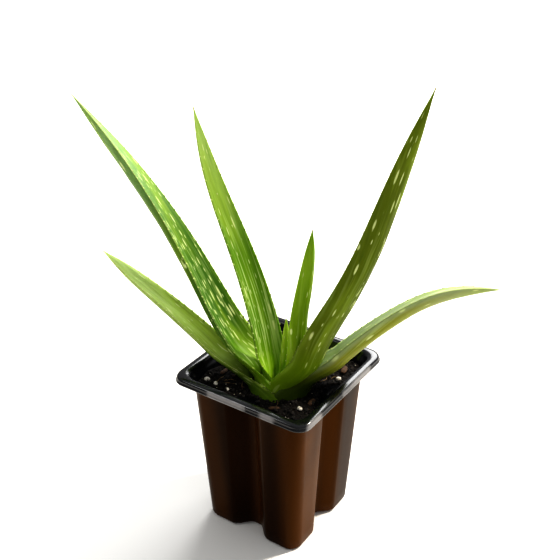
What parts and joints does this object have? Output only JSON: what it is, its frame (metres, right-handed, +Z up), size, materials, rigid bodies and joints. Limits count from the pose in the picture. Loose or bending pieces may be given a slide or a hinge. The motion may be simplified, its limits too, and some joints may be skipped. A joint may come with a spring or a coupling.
{
  "type": "potted aloe plant",
  "caption": "Young spotted aloe with long tapering channelled leaves growing from one crown in a square fluted plastic nursery pot filled with dark potting mix.",
  "frame": {"origin": "centre of the pot's flat foot, on the surface it stands on", "axes": "+Z up, the pot's four sides face +X, -X, +Y and -Y, and the plant's leaves fan out mostly along X"},
  "size_m": [0.2256, 0.0985, 0.2791],
  "materials": {
    "pot_plastic": "gloss",
    "potting_mix": "matte",
    "stem": "matte",
    "leaf": "satin",
    "perlite": "matte",
    "bark": "matte"
  },
  "bodies": {
    "root": {"nursery_pot": "pot_plastic", "potting_mix": "potting_mix", "stem_and_roots": "stem", "leaf_bud": "leaf", "leaf_young_right": "leaf", "leaf_middle_left": "leaf", "leaf_tall_right": "leaf", "leaf_tall_left": "leaf", "leaf_outer_right": "leaf", "leaf_outer_left": "leaf", "perlite_1": "perlite", "perlite_2": "perlite", "perlite_3": "perlite", "perlite_4": "perlite", "perlite_5": "perlite", "perlite_6": "perlite", "perlite_7": "perlite", "bark_1": "bark", "bark_2": "bark", "bark_3": "bark", "bark_4": "bark", "bark_5": "bark", "bark_6": "bark", "bark_7": "bark"}
  },
  "joints": []
}
